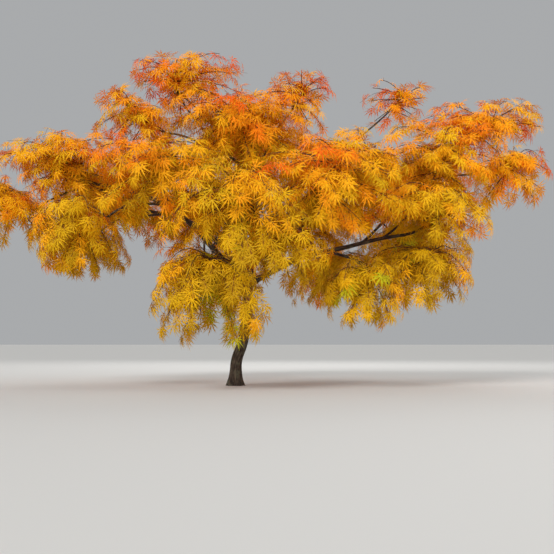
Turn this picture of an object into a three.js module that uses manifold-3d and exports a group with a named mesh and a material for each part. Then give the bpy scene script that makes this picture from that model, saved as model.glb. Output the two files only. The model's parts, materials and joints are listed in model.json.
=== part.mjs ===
import * as THREE from "three";
import { mergeVertices } from "three/addons/utils/BufferGeometryUtils.js";
import Module from "manifold-3d";

// Laceleaf maple in autumn leaf, in millimetres. Z is up and the flat cut under the trunk is z = 0.
// X runs to the right across the front view, and Y runs away from the viewer.

const wasm = await Module();
wasm.setup();

// A limb or a mass of leaves stops this far short of what it grows from
const SEAT_GAP = 0.3;
// Leaves and twigs keep this far off every limb and every leaf beside them
const CLEARANCE = 3;
// Edges shorter than this, left where shapes fuse or are cut, are closed up
const FINEST_DETAIL = 0.02;

// Trunk: its course from the foot to the tip, with its radius there
const TRUNK_COURSE = [
  { x: 0, y: 0, z: 0, radius: 38 },
  { x: 3, y: -2, z: 90, radius: 36 },
  { x: 10, y: -3, z: 170, radius: 35 },
  { x: 48, y: 0, z: 285, radius: 34 },
  { x: 74, y: 6, z: 450, radius: 34 },
  { x: 78, y: 10, z: 590, radius: 33 },
  { x: 98, y: 14, z: 850, radius: 26 },
  { x: 128, y: 12, z: 1100, radius: 20 },
  { x: 168, y: 0, z: 1350, radius: 14 },
  { x: 128, y: -60, z: 1500, radius: 8 },
];
const TRUNK_SIDES = 10;
const TRUNK_STEPS = 15;
const ROOT_FLARE = { swell: 0.75, height: 55, ridges: 5, ridgeShare: 0.35 };

// Boughs: where each leaves its parent as a share of the parent's length, where it ends,
// and how steeply it leaves and arrives, in degrees above level
const BOUGHS = [
  { name: "left", parent: "trunk", at: 0.42, end: [-870, -120, 1280], slopes: [48, 2] },
  { name: "right", parent: "trunk", at: 0.43, end: [1070, -170, 950], slopes: [30, 8] },
  { name: "back_left", parent: "trunk", at: 0.47, end: [-690, 440, 1190], slopes: [46, 0] },
  { name: "back_right", parent: "trunk", at: 0.5, end: [420, 830, 1140], slopes: [42, -4] },
  { name: "front_left", parent: "trunk", at: 0.54, end: [-310, -370, 1190], slopes: [50, 0] },
  { name: "front_right", parent: "trunk", at: 0.6, end: [440, -470, 1120], slopes: [40, -6] },
  { name: "back", parent: "trunk", at: 0.64, end: [-180, 780, 1190], slopes: [44, -6] },
  { name: "front", parent: "trunk", at: 0.7, end: [110, -600, 1040], slopes: [24, -30] },
  { name: "right_centre", parent: "trunk", at: 0.75, end: [590, 20, 1310], slopes: [36, 2] },
  { name: "back_high", parent: "trunk", at: 0.8, end: [150, 340, 1530], slopes: [54, 12] },
  { name: "left_shoulder", parent: "trunk", at: 0.87, end: [-450, 40, 1650], slopes: [42, 8] },
  { name: "top_right", parent: "trunk", at: 0.93, end: [330, 130, 1780], slopes: [74, 48] },
  { name: "top_left", parent: "left_shoulder", at: 0.5, end: [-320, 90, 1810], slopes: [66, 56] },
  { name: "left_tip", parent: "left", at: 0.86, end: [-1290, 20, 1150], slopes: [2, -40] },
  { name: "left_low", parent: "left", at: 0.62, end: [-810, -350, 1000], slopes: [12, -44] },
  { name: "front_low", parent: "front_left", at: 0.72, end: [-150, -590, 730], slopes: [-4, -62] },
  { name: "middle_low", parent: "front", at: 0.6, end: [240, -450, 890], slopes: [-20, -60] },
  { name: "right_far", parent: "right", at: 0.86, end: [1200, -170, 1220], slopes: [36, 62] },
  { name: "right_top", parent: "right", at: 0.74, end: [1510, 140, 1600], slopes: [38, 36] },
  { name: "right_tip", parent: "right_top", at: 0.58, end: [1680, 100, 1380], slopes: [18, -6] },
  { name: "right_low", parent: "right", at: 0.5, end: [990, -240, 720], slopes: [2, 4] },
  { name: "right_lowest", parent: "right_low", at: 0.5, end: [790, -430, 620], slopes: [-10, -50] },
  { name: "high_spray", parent: "right_centre", at: 0.7, end: [990, 380, 1830], slopes: [54, 44] },
  { name: "back_far", parent: "back_right", at: 0.5, end: [1000, 560, 1250], slopes: [30, 2] },
  { name: "back_low", parent: "back", at: 0.78, end: [-230, 930, 880], slopes: [-8, -60] },
  { name: "back_right_low", parent: "back_right", at: 0.74, end: [640, 910, 920], slopes: [0, -54] },
  { name: "back_left_low", parent: "back_left", at: 0.78, end: [-980, 430, 1040], slopes: [4, -38] },
  { name: "back_far_low", parent: "back_far", at: 0.72, end: [1150, 540, 990], slopes: [2, -44] },
];
const BOUGH_SIDES = 6;
const BOUGH_STEP_LENGTH = 210;
// A bough's radius at its root, against its parent's there, and at its tip, against its root's
const BOUGH_ROOT_SHARE = 0.72;
const BOUGH_TIP_SHARE = 0.45;
const BOUGH_LEAST_TIP = 6;
// How fast it thins, how far its ends' slopes carry, and how it wanders from a smooth arch
const BOUGH_TAPER = 0.8;
const BOUGH_CARRY = 0.36;
const BOUGH_CROOK = 0.018;
const BOUGH_CROOK_RISE = 0.6;
const BOUGH_WAVES = [1.2, 2.2];

// Masses of leaves: each fills a space of its own with these half sizes, at the bough of its name
const MASSES = [
  { name: "centre_high", limb: "trunk", centre: [20, -240, 1550], half: [530, 450, 330] },
  { name: "top_left", centre: [-340, 90, 1900], half: [420, 410, 320] },
  { name: "top_right", centre: [420, 170, 1860], half: [260, 300, 260] },
  { name: "left_shoulder", centre: [-610, 50, 1690], half: [360, 420, 290] },
  { name: "left", centre: [-1040, -110, 1310], half: [510, 470, 280] },
  { name: "left_tip", centre: [-1430, -50, 1120], half: [320, 360, 270] },
  { name: "left_low", centre: [-920, -430, 920], half: [300, 370, 280] },
  { name: "front_left", centre: [-410, -510, 1200], half: [470, 440, 340] },
  { name: "front", centre: [50, -840, 940], half: [480, 420, 370] },
  { name: "front_right", centre: [560, -660, 1120], half: [470, 430, 320] },
  { name: "front_low", centre: [-90, -730, 580], half: [370, 320, 365] },
  { name: "middle_low", centre: [260, -580, 820], half: [430, 340, 260] },
  { name: "right_centre", centre: [770, 20, 1360], half: [530, 490, 290] },
  { name: "right_far", centre: [1250, -170, 1370], half: [500, 450, 270] },
  { name: "right_top", centre: [1640, 140, 1640], half: [450, 410, 230] },
  { name: "right_tip", centre: [1780, 100, 1370], half: [300, 340, 260] },
  { name: "right", centre: [1150, -340, 1040], half: [440, 410, 260] },
  { name: "right_low", centre: [1140, -230, 700], half: [340, 350, 270] },
  { name: "right_lowest", centre: [770, -490, 560], half: [260, 300, 240] },
  { name: "high_spray", centre: [1110, 440, 1930], half: [300, 300, 200] },
  { name: "back_high", centre: [100, 500, 1590], half: [520, 460, 320] },
  { name: "back_left", centre: [-860, 580, 1250], half: [490, 470, 290] },
  { name: "back", centre: [-280, 1010, 1180], half: [510, 460, 300] },
  { name: "back_right", centre: [560, 1000, 1140], half: [540, 470, 310] },
  { name: "back_far", centre: [1170, 620, 1300], half: [510, 470, 290] },
  { name: "back_low", centre: [-240, 990, 740], half: [420, 380, 290] },
  { name: "back_right_low", centre: [690, 960, 770], half: [400, 380, 280] },
  { name: "back_left_low", centre: [-1070, 470, 950], half: [330, 390, 260] },
  { name: "back_far_low", centre: [1220, 540, 920], half: [440, 380, 290] },
];
// A space is an oval at 2, and squarer in its upright sections above that
const SPACE_ROUNDNESS = 4;
// A mass whose middle is lower than this hangs: its ribs end low
const WEEPING_BELOW = 1110;

// Twigs of a mass: three-sided ribs that arch from a stem, which carries on from the bough.
// Heights and reaches are shares of the space's half sizes
const TWIG_SIDES = 3;
const STEM_STEPS = 2;
// The heights at which a stem may end, and how far it leads on the way its bough was heading
const STEM_TOPS = [0.6, 0.45, 0.3, 0.15];
const STEM_LEAD = 0.4;
const STEM_CARRY = 0.45;
const STEM_TIP_RADIUS = 5;
const RIB_SPACING = 710;
const RIB_LEAST_COUNT = 4;
const RIB_SCATTER = 0.5;
const RIB_ROOTS = [0.7, 0.98];
const RIB_STEPS = 2;
const RIB_TIP_RADIUS = 3.5;
const RIB_REACHES = [0.7, 0.62, 0.54, 0.46];
const RIB_END_HEIGHT = 0.4;
const RIB_WEEPING_END = -0.45;
const RIB_ARCH = { reach: 0.6, height: 1.5 };

// Leaves: five-lobed and drooping, larger than life so that few of them fill the crown.
// Turn and roll are in radians, and the droop is added to the heading
const LEAF_LENGTH = 330;
const LEAF_THICKNESS = 6;
const LEAF_SIZES = [1, 0.85, 0.7];
const LEAF_TRIES = 10;
const LEAF_PLACES = [0.35, 0.6, 0.8, 0.96];
const LEAF_TURN = [0.7, 1.2];
const LEAF_DROOP = [0.4, 1.8];
const LEAF_ROLL = [-0.6, 0.6];
const LEAF_BOW = 0.2;
const LEAF_HEART = 0.34;
const LEAF_LOBES = [
  { angle: -108, reach: 0.44 },
  { angle: -48, reach: 0.58 },
  { angle: 0, reach: 0.66 },
  { angle: 48, reach: 0.58 },
  { angle: 108, reach: 0.44 },
];
const LEAF_NOTCH_REACH = 0.2;

const BARK = { color: "#4a4038", roughness: 0.9, metalness: 0 };
const FOLIAGE = { color: "#e0902b", roughness: 0.65, metalness: 0 };

// Seeds: each bough and each mass draws its own run of numbers
const BOUGH_SEED = 1;
const MASS_SEED = 100;

// A source of numbers from 0 to 1 that is the same each time
function seeded(seed) {
  let state = seed >>> 0;
  return () => {
    state = (state + 0x6d2b79f5) >>> 0;
    let mixed = Math.imul(state ^ (state >>> 15), state | 1);
    mixed ^= mixed + Math.imul(mixed ^ (mixed >>> 7), mixed | 61);
    return ((mixed ^ (mixed >>> 14)) >>> 0) / 4294967296;
  };
}

const vector = (list) => new THREE.Vector3(...list);
const radians = THREE.MathUtils.degToRad;
const lerp = THREE.MathUtils.lerp;
const boxed = (made) => ({ made, box: made.boundingBox() });

// A solid from bare points and triangles, turned so that its faces point outwards
function solid(points, triangles) {
  const build = (corners) =>
    new wasm.Manifold(
      new wasm.Mesh({
        numProp: 3,
        vertProperties: new Float32Array(points.flatMap((point) => point.toArray())),
        triVerts: new Uint32Array(corners.flat()),
      }),
    );
  const made = build(triangles);
  if (made.volume() > 0) {
    return made;
  }
  return build(triangles.map(([first, second, third]) => [first, third, second]));
}

// A closed tapering limb along a course of points, each with its radius
function limbSolid(course, sides, swell = 0, outline = () => 1) {
  const points = [];
  let across = new THREE.Vector3(0, 1, 0);
  course.forEach((station, index) => {
    const ahead = course[Math.min(index + 1, course.length - 1)].point;
    const behind = course[Math.max(index - 1, 0)].point;
    const heading = station.heading ?? ahead.clone().sub(behind).normalize();
    across = across.clone().addScaledVector(heading, -across.dot(heading)).normalize();
    const beside = heading.clone().cross(across);
    for (let side = 0; side < sides; side++) {
      const angle = (2 * Math.PI * side) / sides;
      const radius = station.radius * outline(angle, station.point.z) + swell;
      points.push(
        station.point
          .clone()
          .addScaledVector(across, radius * Math.cos(angle))
          .addScaledVector(beside, radius * Math.sin(angle)),
      );
    }
  });
  const triangles = [];
  for (let ring = 0; ring + 1 < course.length; ring++) {
    for (let side = 0; side < sides; side++) {
      const here = ring * sides + side;
      const next = ring * sides + ((side + 1) % sides);
      triangles.push([here, next, next + sides], [here, next + sides, here + sides]);
    }
  }
  const last = (course.length - 1) * sides;
  for (let side = 1; side + 1 < sides; side++) {
    triangles.push([0, side + 1, side], [last, last + side, last + side + 1]);
  }
  return solid(points, triangles);
}

// The point, heading and radius at a share of a course's length
function along(course, share) {
  const lengths = [0];
  for (let index = 1; index < course.length; index++) {
    lengths.push(lengths[index - 1] + course[index].point.distanceTo(course[index - 1].point));
  }
  const wanted = share * lengths[lengths.length - 1];
  let index = 1;
  while (index < course.length - 1 && lengths[index] < wanted) {
    index++;
  }
  const part = (wanted - lengths[index - 1]) / (lengths[index] - lengths[index - 1]);
  const from = course[index - 1];
  const to = course[index];
  return {
    point: from.point.clone().lerp(to.point, part),
    heading: to.point.clone().sub(from.point).normalize(),
    radius: lerp(from.radius, to.radius, part),
  };
}

// Trunk
function trunkCourse() {
  const curve = new THREE.CatmullRomCurve3(TRUNK_COURSE.map(({ x, y, z }) => new THREE.Vector3(x, y, z)));
  const spans = TRUNK_COURSE.length - 1;
  const course = [];
  for (let step = 0; step <= TRUNK_STEPS; step++) {
    const place = (step / TRUNK_STEPS) * spans;
    const span = Math.min(Math.floor(place), spans - 1);
    const radius = lerp(TRUNK_COURSE[span].radius, TRUNK_COURSE[span + 1].radius, place - span);
    course.push({ point: curve.getPoint(step / TRUNK_STEPS), radius });
  }
  course[0].heading = new THREE.Vector3(0, 0, 1);
  return course;
}

function rootFlare(angle, height) {
  const { swell, height: fade, ridges, ridgeShare } = ROOT_FLARE;
  return 1 + swell * Math.exp(-height / fade) * (1 - ridgeShare + ridgeShare * Math.cos(ridges * angle));
}

// Boughs
function boughCourse(bough, parentCourse, random) {
  const root = along(parentCourse, bough.at);
  const rootRadius = root.radius * BOUGH_ROOT_SHARE;
  const tipRadius = Math.max(rootRadius * BOUGH_TIP_SHARE, BOUGH_LEAST_TIP);
  const end = vector(bough.end);
  const span = root.point.distanceTo(end);
  const level = end.clone().sub(root.point).setZ(0).normalize();
  const sloping = (degrees) =>
    level.clone().multiplyScalar(Math.cos(radians(degrees))).setZ(Math.sin(radians(degrees)));
  const curve = new THREE.CubicBezierCurve3(
    root.point,
    root.point.clone().addScaledVector(sloping(bough.slopes[0]), span * BOUGH_CARRY),
    end.clone().addScaledVector(sloping(bough.slopes[1]), -span * BOUGH_CARRY),
    end,
  );
  const crooked = new THREE.Vector3(-level.y, level.x, BOUGH_CROOK_RISE);
  const phase = random() * 2 * Math.PI;
  const waves = lerp(...BOUGH_WAVES, random());
  const steps = Math.max(3, Math.round(span / BOUGH_STEP_LENGTH));
  const course = [];
  for (let step = 0; step <= steps; step++) {
    const share = step / steps;
    const sway = Math.sin(2 * Math.PI * waves * share + phase) * Math.sin(Math.PI * share);
    course.push({
      point: curve.getPoint(share).addScaledVector(crooked, sway * BOUGH_CROOK * span),
      radius: lerp(rootRadius, tipRadius, share ** BOUGH_TAPER),
    });
  }
  return course;
}

// Spaces: one for each mass, parted from its neighbours by planes midway through their overlaps
function spacePlanes(mass) {
  const centre = vector(mass.centre);
  const planes = [];
  for (const other of MASSES) {
    if (other === mass) {
      continue;
    }
    const across = vector(mass.half).add(vector(other.half));
    const normal = vector(other.centre).sub(centre).divide(across).divide(across).normalize();
    const nearEdge = normal.dot(centre) + reachAlong(normal, mass);
    const farEdge = normal.dot(vector(other.centre)) - reachAlong(normal, other);
    if (nearEdge > farEdge) {
      planes.push({ normal, limit: (nearEdge + farEdge) / 2 - CLEARANCE / 2 });
    }
  }
  return planes;
}

// How far a space reaches from its middle in a direction
function reachAlong(normal, { half }) {
  const power = SPACE_ROUNDNESS / (SPACE_ROUNDNESS - 1);
  const level = Math.hypot(normal.x * half[0], normal.y * half[1]) ** power;
  const upright = Math.abs(normal.z * half[2]) ** power;
  return (level + upright) ** (1 / power);
}

function makeSpace(mass) {
  const centre = vector(mass.centre);
  const half = vector(mass.half);
  const planes = spacePlanes(mass);
  const holds = (point) => {
    const offset = point.clone().sub(centre).divide(half);
    const outward = Math.hypot(offset.x, offset.y) ** SPACE_ROUNDNESS;
    const upward = Math.abs(offset.z) ** SPACE_ROUNDNESS;
    return outward + upward <= 1 && planes.every(({ normal, limit }) => normal.dot(point) <= limit);
  };
  return { centre, half, holds, ribEnd: centre.z < WEEPING_BELOW ? RIB_WEEPING_END : RIB_END_HEIGHT };
}

// Leaves: an outline from the stalk's root round the lobes, raised to a point on either face
function leafOutline() {
  const fromHeart = (degrees, reach) =>
    new THREE.Vector2(
      LEAF_HEART + reach * Math.cos(radians(degrees)),
      reach * Math.sin(radians(degrees)),
    );
  const points = [new THREE.Vector2(0, 0)];
  LEAF_LOBES.forEach(({ angle, reach }, index) => {
    if (index > 0) {
      points.push(fromHeart((angle + LEAF_LOBES[index - 1].angle) / 2, LEAF_NOTCH_REACH));
    }
    points.push(fromHeart(angle, reach));
  });
  return points;
}

function makeLeaf(root, heading, face, length) {
  const across = face.clone().cross(heading).normalize();
  const up = heading.clone().cross(across).normalize();
  const place = (forward, aside, raised) =>
    root
      .clone()
      .addScaledVector(heading, forward * length)
      .addScaledVector(across, aside * length)
      .addScaledVector(up, raised);
  const points = leafOutline().map(({ x, y }) => place(x, y, 0));
  const count = points.length;
  points.push(place(LEAF_HEART, 0, LEAF_THICKNESS / 2), place(LEAF_HEART, 0, -LEAF_THICKNESS / 2));
  const triangles = [];
  for (let index = 0; index < count; index++) {
    const next = (index + 1) % count;
    triangles.push([index, next, count], [next, index, count + 1]);
  }
  return { made: solid(points, triangles), points };
}

// Whether a solid keeps the clearance from all the others
function isClear(made, others) {
  const box = made.boundingBox();
  const isNear = (other) =>
    box.min.every(
      (low, axis) => low - CLEARANCE <= other.max[axis] && other.min[axis] - CLEARANCE <= box.max[axis],
    );
  return others.every((other) => !isNear(other.box) || made.minGap(other.made, CLEARANCE) >= CLEARANCE);
}

// The way out from the middle of a space through a point, bowed down, which the leaves face
function outwardAt(point, space) {
  const outward = point.clone().sub(space.centre).divide(space.half).divide(space.half).normalize();
  outward.z -= LEAF_BOW;
  return outward.normalize();
}

// The largest leaf that fits at a place on a twig, out of a few tries at its direction
function fitLeaf(place, side, random, space, obstacles) {
  let best = null;
  let bestSize = 0;
  for (let attempt = 0; attempt < LEAF_TRIES; attempt++) {
    const face = outwardAt(place.point, space);
    const heading = place.heading.clone().applyAxisAngle(face, side * lerp(...LEAF_TURN, random()));
    heading.z -= lerp(...LEAF_DROOP, random());
    heading.normalize();
    face.applyAxisAngle(heading, lerp(...LEAF_ROLL, random()));
    for (const size of LEAF_SIZES.filter((share) => share > bestSize)) {
      const leaf = makeLeaf(place.point, heading, face, LEAF_LENGTH * size);
      if (leaf.points.every(space.holds) && isClear(leaf.made, obstacles)) {
        best = leaf.made;
        bestSize = size;
        break;
      }
    }
  }
  return best;
}

// Twigs
function stemEnd(heading, space) {
  const lead = heading.clone().multiplyScalar(STEM_LEAD);
  const ends = STEM_TOPS.map((top) => lead.clone().setZ(top).multiply(space.half).add(space.centre));
  return ends.find(space.holds);
}

function stemCourse(tip, space) {
  const start = tip.point.clone().addScaledVector(tip.heading, SEAT_GAP);
  const end = stemEnd(tip.heading, space);
  const bend = start.clone().addScaledVector(tip.heading, start.distanceTo(end) * STEM_CARRY);
  const course = curveCourse([start, bend, end], STEM_STEPS, tip.radius, STEM_TIP_RADIUS);
  course[0].heading = tip.heading;
  return course;
}

function ribCourse(root, bearing, reach, space) {
  const inSpace = (outward, height) =>
    new THREE.Vector3(outward * Math.cos(bearing), outward * Math.sin(bearing), height)
      .multiplyScalar(reach)
      .multiply(space.half)
      .add(space.centre);
  const bend = inSpace(RIB_ARCH.reach, RIB_ARCH.height);
  const end = inSpace(1, space.ribEnd);
  return curveCourse([root.point, bend, end], RIB_STEPS, STEM_TIP_RADIUS, RIB_TIP_RADIUS);
}

function curveCourse(corners, steps, rootRadius, tipRadius) {
  const curve = new THREE.QuadraticBezierCurve3(...corners);
  const course = [];
  for (let step = 0; step <= steps; step++) {
    course.push({ point: curve.getPoint(step / steps), radius: lerp(rootRadius, tipRadius, step / steps) });
  }
  return course;
}

// The leaves of one rib: on either side in turn, and one that carries on from its end
function ribLeaves(course, rib, random, space, obstacles) {
  const grown = [];
  LEAF_PLACES.forEach((share, index) => {
    const isEnd = index === LEAF_PLACES.length - 1;
    const side = (index + rib) % 2 === 0 ? 1 : -1;
    const taken = [...obstacles, ...grown.map(boxed)];
    const leaf = fitLeaf(along(course, share), isEnd ? 0 : side, random, space, taken);
    if (leaf) {
      grown.push(leaf);
    }
  });
  return grown;
}

// A mass: a stem from the bough's tip, ribs all round it and leaves along them, fused
function massSolid(mass, tip, limbs, random) {
  const space = makeSpace(mass);
  const stem = stemCourse(tip, space);
  const twigs = [limbSolid(stem, TWIG_SIDES)];
  const leaves = [];
  const girth = Math.PI * (mass.half[0] + mass.half[1]);
  const ribs = Math.max(RIB_LEAST_COUNT, Math.round(girth / RIB_SPACING));
  const firstBearing = random() * 2 * Math.PI;
  for (let rib = 0; rib < ribs; rib++) {
    const bearing = firstBearing + (2 * Math.PI * (rib + RIB_SCATTER * random())) / ribs;
    const root = along(stem, lerp(...RIB_ROOTS, rib / ribs));
    for (const reach of RIB_REACHES) {
      const course = ribCourse(root, bearing, reach, space);
      const twig = limbSolid(course, TWIG_SIDES);
      if (course.every(({ point }) => space.holds(point)) && isClear(twig, limbs)) {
        twigs.push(twig);
        leaves.push(...ribLeaves(course, rib, random, space, [...limbs, ...leaves.map(boxed)]));
        break;
      }
    }
  }
  return largestBody(wasm.Manifold.union([...twigs, ...leaves]));
}

// Keeps a solid's one real body, without slivers, loose scrap or sealed hollows
function largestBody(made) {
  const bodies = made.simplify(FINEST_DETAIL).decompose();
  return bodies.reduce((best, body) => (body.volume() > best.volume() ? body : best));
}

function addNode(group, made, name, look) {
  const data = made.getMesh();
  const geometry = new THREE.BufferGeometry();
  geometry.setAttribute("position", new THREE.BufferAttribute(Float32Array.from(data.vertProperties), 3));
  geometry.setIndex(Array.from(data.triVerts));
  const welded = mergeVertices(geometry);
  welded.computeVertexNormals();
  const mesh = new THREE.Mesh(welded, new THREE.MeshStandardMaterial(look));
  mesh.name = name;
  group.add(mesh);
}

// The whole tree
const tree = new THREE.Group();
tree.name = "laceleaf_maple";

const courses = { trunk: trunkCourse() };
const trunk = limbSolid(courses.trunk, TRUNK_SIDES, 0, rootFlare);
const swollen = { trunk: limbSolid(courses.trunk, TRUNK_SIDES, SEAT_GAP, rootFlare) };
const limbs = [boxed(trunk)];
addNode(tree, trunk, "trunk", BARK);

BOUGHS.forEach((bough, index) => {
  const course = boughCourse(bough, courses[bough.parent], seeded(BOUGH_SEED + index));
  const made = largestBody(limbSolid(course, BOUGH_SIDES).subtract(swollen[bough.parent]));
  courses[bough.name] = course;
  swollen[bough.name] = limbSolid(course, BOUGH_SIDES, SEAT_GAP);
  limbs.push(boxed(made));
  addNode(tree, made, `bough_${bough.name}`, BARK);
});

MASSES.forEach((mass, index) => {
  const tip = along(courses[mass.limb ?? mass.name], 1);
  const made = massSolid(mass, tip, limbs, seeded(MASS_SEED + index));
  addNode(tree, made, `leaves_${mass.name}`, FOLIAGE);
});

export default tree;
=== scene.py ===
import json
import math

import bpy
import numpy as np
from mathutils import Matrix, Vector, noise

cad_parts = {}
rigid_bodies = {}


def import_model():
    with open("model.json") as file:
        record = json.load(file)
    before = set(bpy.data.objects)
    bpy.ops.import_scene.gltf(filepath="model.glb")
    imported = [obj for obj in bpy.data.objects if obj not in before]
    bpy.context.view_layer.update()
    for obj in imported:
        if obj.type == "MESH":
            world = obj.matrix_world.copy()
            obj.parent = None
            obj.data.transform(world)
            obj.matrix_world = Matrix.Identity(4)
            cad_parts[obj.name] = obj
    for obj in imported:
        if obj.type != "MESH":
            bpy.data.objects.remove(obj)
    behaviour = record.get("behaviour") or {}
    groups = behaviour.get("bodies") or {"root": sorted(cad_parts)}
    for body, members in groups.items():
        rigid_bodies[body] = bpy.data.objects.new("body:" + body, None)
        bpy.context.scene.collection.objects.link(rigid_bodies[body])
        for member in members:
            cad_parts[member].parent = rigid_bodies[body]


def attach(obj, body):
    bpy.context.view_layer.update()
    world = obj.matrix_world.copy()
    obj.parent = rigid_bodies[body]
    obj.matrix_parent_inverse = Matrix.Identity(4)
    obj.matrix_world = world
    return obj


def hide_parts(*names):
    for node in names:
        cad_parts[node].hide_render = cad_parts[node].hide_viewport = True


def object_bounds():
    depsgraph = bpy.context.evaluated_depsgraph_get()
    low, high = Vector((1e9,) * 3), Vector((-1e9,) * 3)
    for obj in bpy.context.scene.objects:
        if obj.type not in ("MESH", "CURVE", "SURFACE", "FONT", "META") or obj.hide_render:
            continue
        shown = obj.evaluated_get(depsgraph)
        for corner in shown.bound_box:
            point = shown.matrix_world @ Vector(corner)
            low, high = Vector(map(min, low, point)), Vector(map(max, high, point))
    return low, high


# Laceleaf maple in autumn leaf. Sizes are in millimetres and in the frame of the solids:
# Z is up, X runs to the right across the front view and Y runs away from the viewer.
# Turns are in radians, and angles, slopes and the camera's pitch in degrees.

MM = 0.001
# The share of a unit heading along an axis from which it counts as heading that way
ALONG_LEAST = 0.9

# Trunk: its course from the foot to the tip, with its radius there
TRUNK_COURSE = [
    ((0, 0, 0), 38),
    ((3, -2, 90), 36),
    ((10, -3, 170), 35),
    ((48, 0, 285), 34),
    ((74, 6, 450), 34),
    ((78, 10, 590), 33),
    ((98, 14, 850), 26),
    ((128, 12, 1100), 20),
    ((168, 0, 1350), 14),
    ((128, -60, 1500), 8),
]
ROOT_FLARE = {"swell": 0.75, "height": 55, "ridges": 5, "ridge_share": 0.35}
# Stations along the solid trunk, from which the boughs leave
TRUNK_STEPS = 15

# Boughs: where each leaves its parent as a share of the parent's length, where it ends,
# and how steeply it leaves and arrives, in degrees above level
BOUGHS = [
    ("left", "trunk", 0.42, (-870, -120, 1280), (48, 2)),
    ("right", "trunk", 0.43, (1070, -170, 950), (30, 8)),
    ("back_left", "trunk", 0.47, (-690, 440, 1190), (46, 0)),
    ("back_right", "trunk", 0.5, (420, 830, 1140), (42, -4)),
    ("front_left", "trunk", 0.54, (-310, -370, 1190), (50, 0)),
    ("front_right", "trunk", 0.6, (440, -470, 1120), (40, -6)),
    ("back", "trunk", 0.64, (-180, 780, 1190), (44, -6)),
    ("front", "trunk", 0.7, (110, -600, 1040), (24, -30)),
    ("right_centre", "trunk", 0.75, (590, 20, 1310), (36, 2)),
    ("back_high", "trunk", 0.8, (150, 340, 1530), (54, 12)),
    ("left_shoulder", "trunk", 0.87, (-450, 40, 1650), (42, 8)),
    ("top_right", "trunk", 0.93, (330, 130, 1780), (74, 48)),
    ("top_left", "left_shoulder", 0.5, (-320, 90, 1810), (66, 56)),
    ("left_tip", "left", 0.86, (-1290, 20, 1150), (2, -40)),
    ("left_low", "left", 0.62, (-810, -350, 1000), (12, -44)),
    ("front_low", "front_left", 0.72, (-150, -590, 730), (-4, -62)),
    ("middle_low", "front", 0.6, (240, -450, 890), (-20, -60)),
    ("right_far", "right", 0.86, (1200, -170, 1220), (36, 62)),
    ("right_top", "right", 0.74, (1510, 140, 1600), (38, 36)),
    ("right_tip", "right_top", 0.58, (1680, 100, 1380), (18, -6)),
    ("right_low", "right", 0.5, (990, -240, 720), (2, 4)),
    ("right_lowest", "right_low", 0.5, (790, -430, 620), (-10, -50)),
    ("high_spray", "right_centre", 0.7, (990, 380, 1830), (54, 44)),
    ("back_far", "back_right", 0.5, (1000, 560, 1250), (30, 2)),
    ("back_low", "back", 0.78, (-230, 930, 880), (-8, -60)),
    ("back_right_low", "back_right", 0.74, (640, 910, 920), (0, -54)),
    ("back_left_low", "back_left", 0.78, (-980, 430, 1040), (4, -38)),
    ("back_far_low", "back_far", 0.72, (1150, 540, 990), (2, -44)),
]
# Steps of the solid boughs, from which the further boughs and the masses leave
BOUGH_STEP_LENGTH = 210
BOUGH_LEAST_STEPS = 3
# Radii: at the root as a share of the parent's, and at the tip as a share of the root's
BOUGH_ROOT_SHARE = 0.72
BOUGH_TIP_SHARE = 0.45
BOUGH_LEAST_TIP = 6
BOUGH_TAPER = 0.8
# How far a bough keeps the slope of each end, and how it sways on its way, as shares of its span
BOUGH_CARRY = 0.36
BOUGH_CROOK = 0.018
BOUGH_CROOK_RISE = 0.6
BOUGH_WAVES = (1.2, 2.2)

# Masses of leaves: each grows from the tip of the bough of its name and fills a space of its
# own, with this centre and these half sizes
MASSES = [
    ("centre_high", (20, -240, 1550), (530, 450, 330)),
    ("top_left", (-340, 90, 1900), (420, 410, 320)),
    ("top_right", (420, 170, 1860), (260, 300, 260)),
    ("left_shoulder", (-610, 50, 1690), (360, 420, 290)),
    ("left", (-1040, -110, 1310), (510, 470, 280)),
    ("left_tip", (-1430, -50, 1120), (320, 360, 270)),
    ("left_low", (-920, -430, 920), (300, 370, 280)),
    ("front_left", (-410, -510, 1200), (470, 440, 340)),
    ("front", (50, -840, 940), (480, 420, 370)),
    ("front_right", (560, -660, 1120), (470, 430, 320)),
    ("front_low", (-90, -730, 580), (370, 320, 365)),
    ("middle_low", (260, -580, 820), (430, 340, 260)),
    ("right_centre", (770, 20, 1360), (530, 490, 290)),
    ("right_far", (1250, -170, 1370), (500, 450, 270)),
    ("right_top", (1640, 140, 1640), (450, 410, 230)),
    ("right_tip", (1780, 100, 1370), (300, 340, 260)),
    ("right", (1150, -340, 1040), (440, 410, 260)),
    ("right_low", (1140, -230, 700), (340, 350, 270)),
    ("right_lowest", (770, -490, 560), (260, 300, 240)),
    ("high_spray", (1110, 440, 1930), (300, 300, 200)),
    ("back_high", (100, 500, 1590), (520, 460, 320)),
    ("back_left", (-860, 580, 1250), (490, 470, 290)),
    ("back", (-280, 1010, 1180), (510, 460, 300)),
    ("back_right", (560, 1000, 1140), (540, 470, 310)),
    ("back_far", (1170, 620, 1300), (510, 470, 290)),
    ("back_low", (-240, 990, 740), (420, 380, 290)),
    ("back_right_low", (690, 960, 770), (400, 380, 280)),
    ("back_left_low", (-1070, 470, 950), (330, 390, 260)),
    ("back_far_low", (1220, 540, 920), (440, 380, 290)),
]
# The mass that grows from the trunk's own tip
TRUNK_MASS = "centre_high"
# The power that rounds a space, from 2 for an ellipsoid to more for a boxier pad
SPACE_ROUNDNESS = 4
# The gap between the spaces, and how clear of the limbs the twigs keep
CLEARANCE = 3
# The height of a space's centre under which its mass weeps
WEEPING_BELOW = 1110

# Orders of twigs in a mass: a stem from the bough's tip, ribs from it, and sprays from both
STEM, RIB, SPRAY = range(3)
TWIG_SIDES = (5, 4, 3)
TWIG_COLOURS = [("old_wood", "#4b3d33"), ("rib_wood", "#54392c"), ("young_wood", "#6a3c2a")]
TWIG_ROUGHNESS = 0.7

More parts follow.
